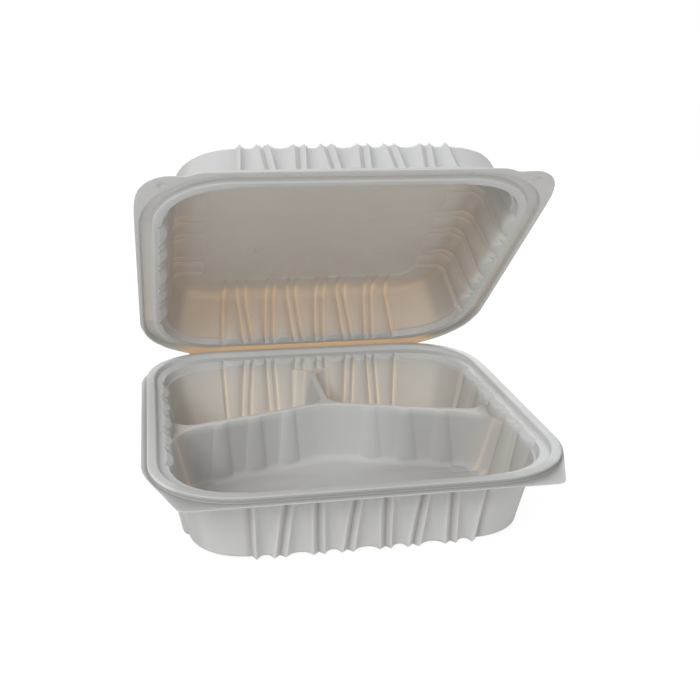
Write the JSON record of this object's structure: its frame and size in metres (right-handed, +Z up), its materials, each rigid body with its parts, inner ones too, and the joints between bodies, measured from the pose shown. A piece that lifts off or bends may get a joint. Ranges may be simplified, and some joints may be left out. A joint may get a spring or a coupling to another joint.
{
  "type": "hinged takeout container",
  "caption": "Hinged takeout box with a divided tray, fluted walls, a snap rim and a domed lid standing open.",
  "frame": {"origin": "middle of the tray on the table, under the front compartment's floor", "axes": "+X to the right of someone facing the front edge, +Y from the front edge to the fold, +Z up"},
  "size_m": [0.237, 0.233, 0.2104],
  "materials": {
    "sheet": "matte"
  },
  "bodies": {
    "tray": {"base": "sheet"},
    "cover": {"lid": "sheet"}
  },
  "joints": [
    {"name": "lid_fold", "type": "hinge", "parent": "tray", "child": "cover", "pos_m": [0, 0.1125, 0.045], "axis": [-1, 0, 0], "range_deg": [-43.8, 136]}
  ]
}
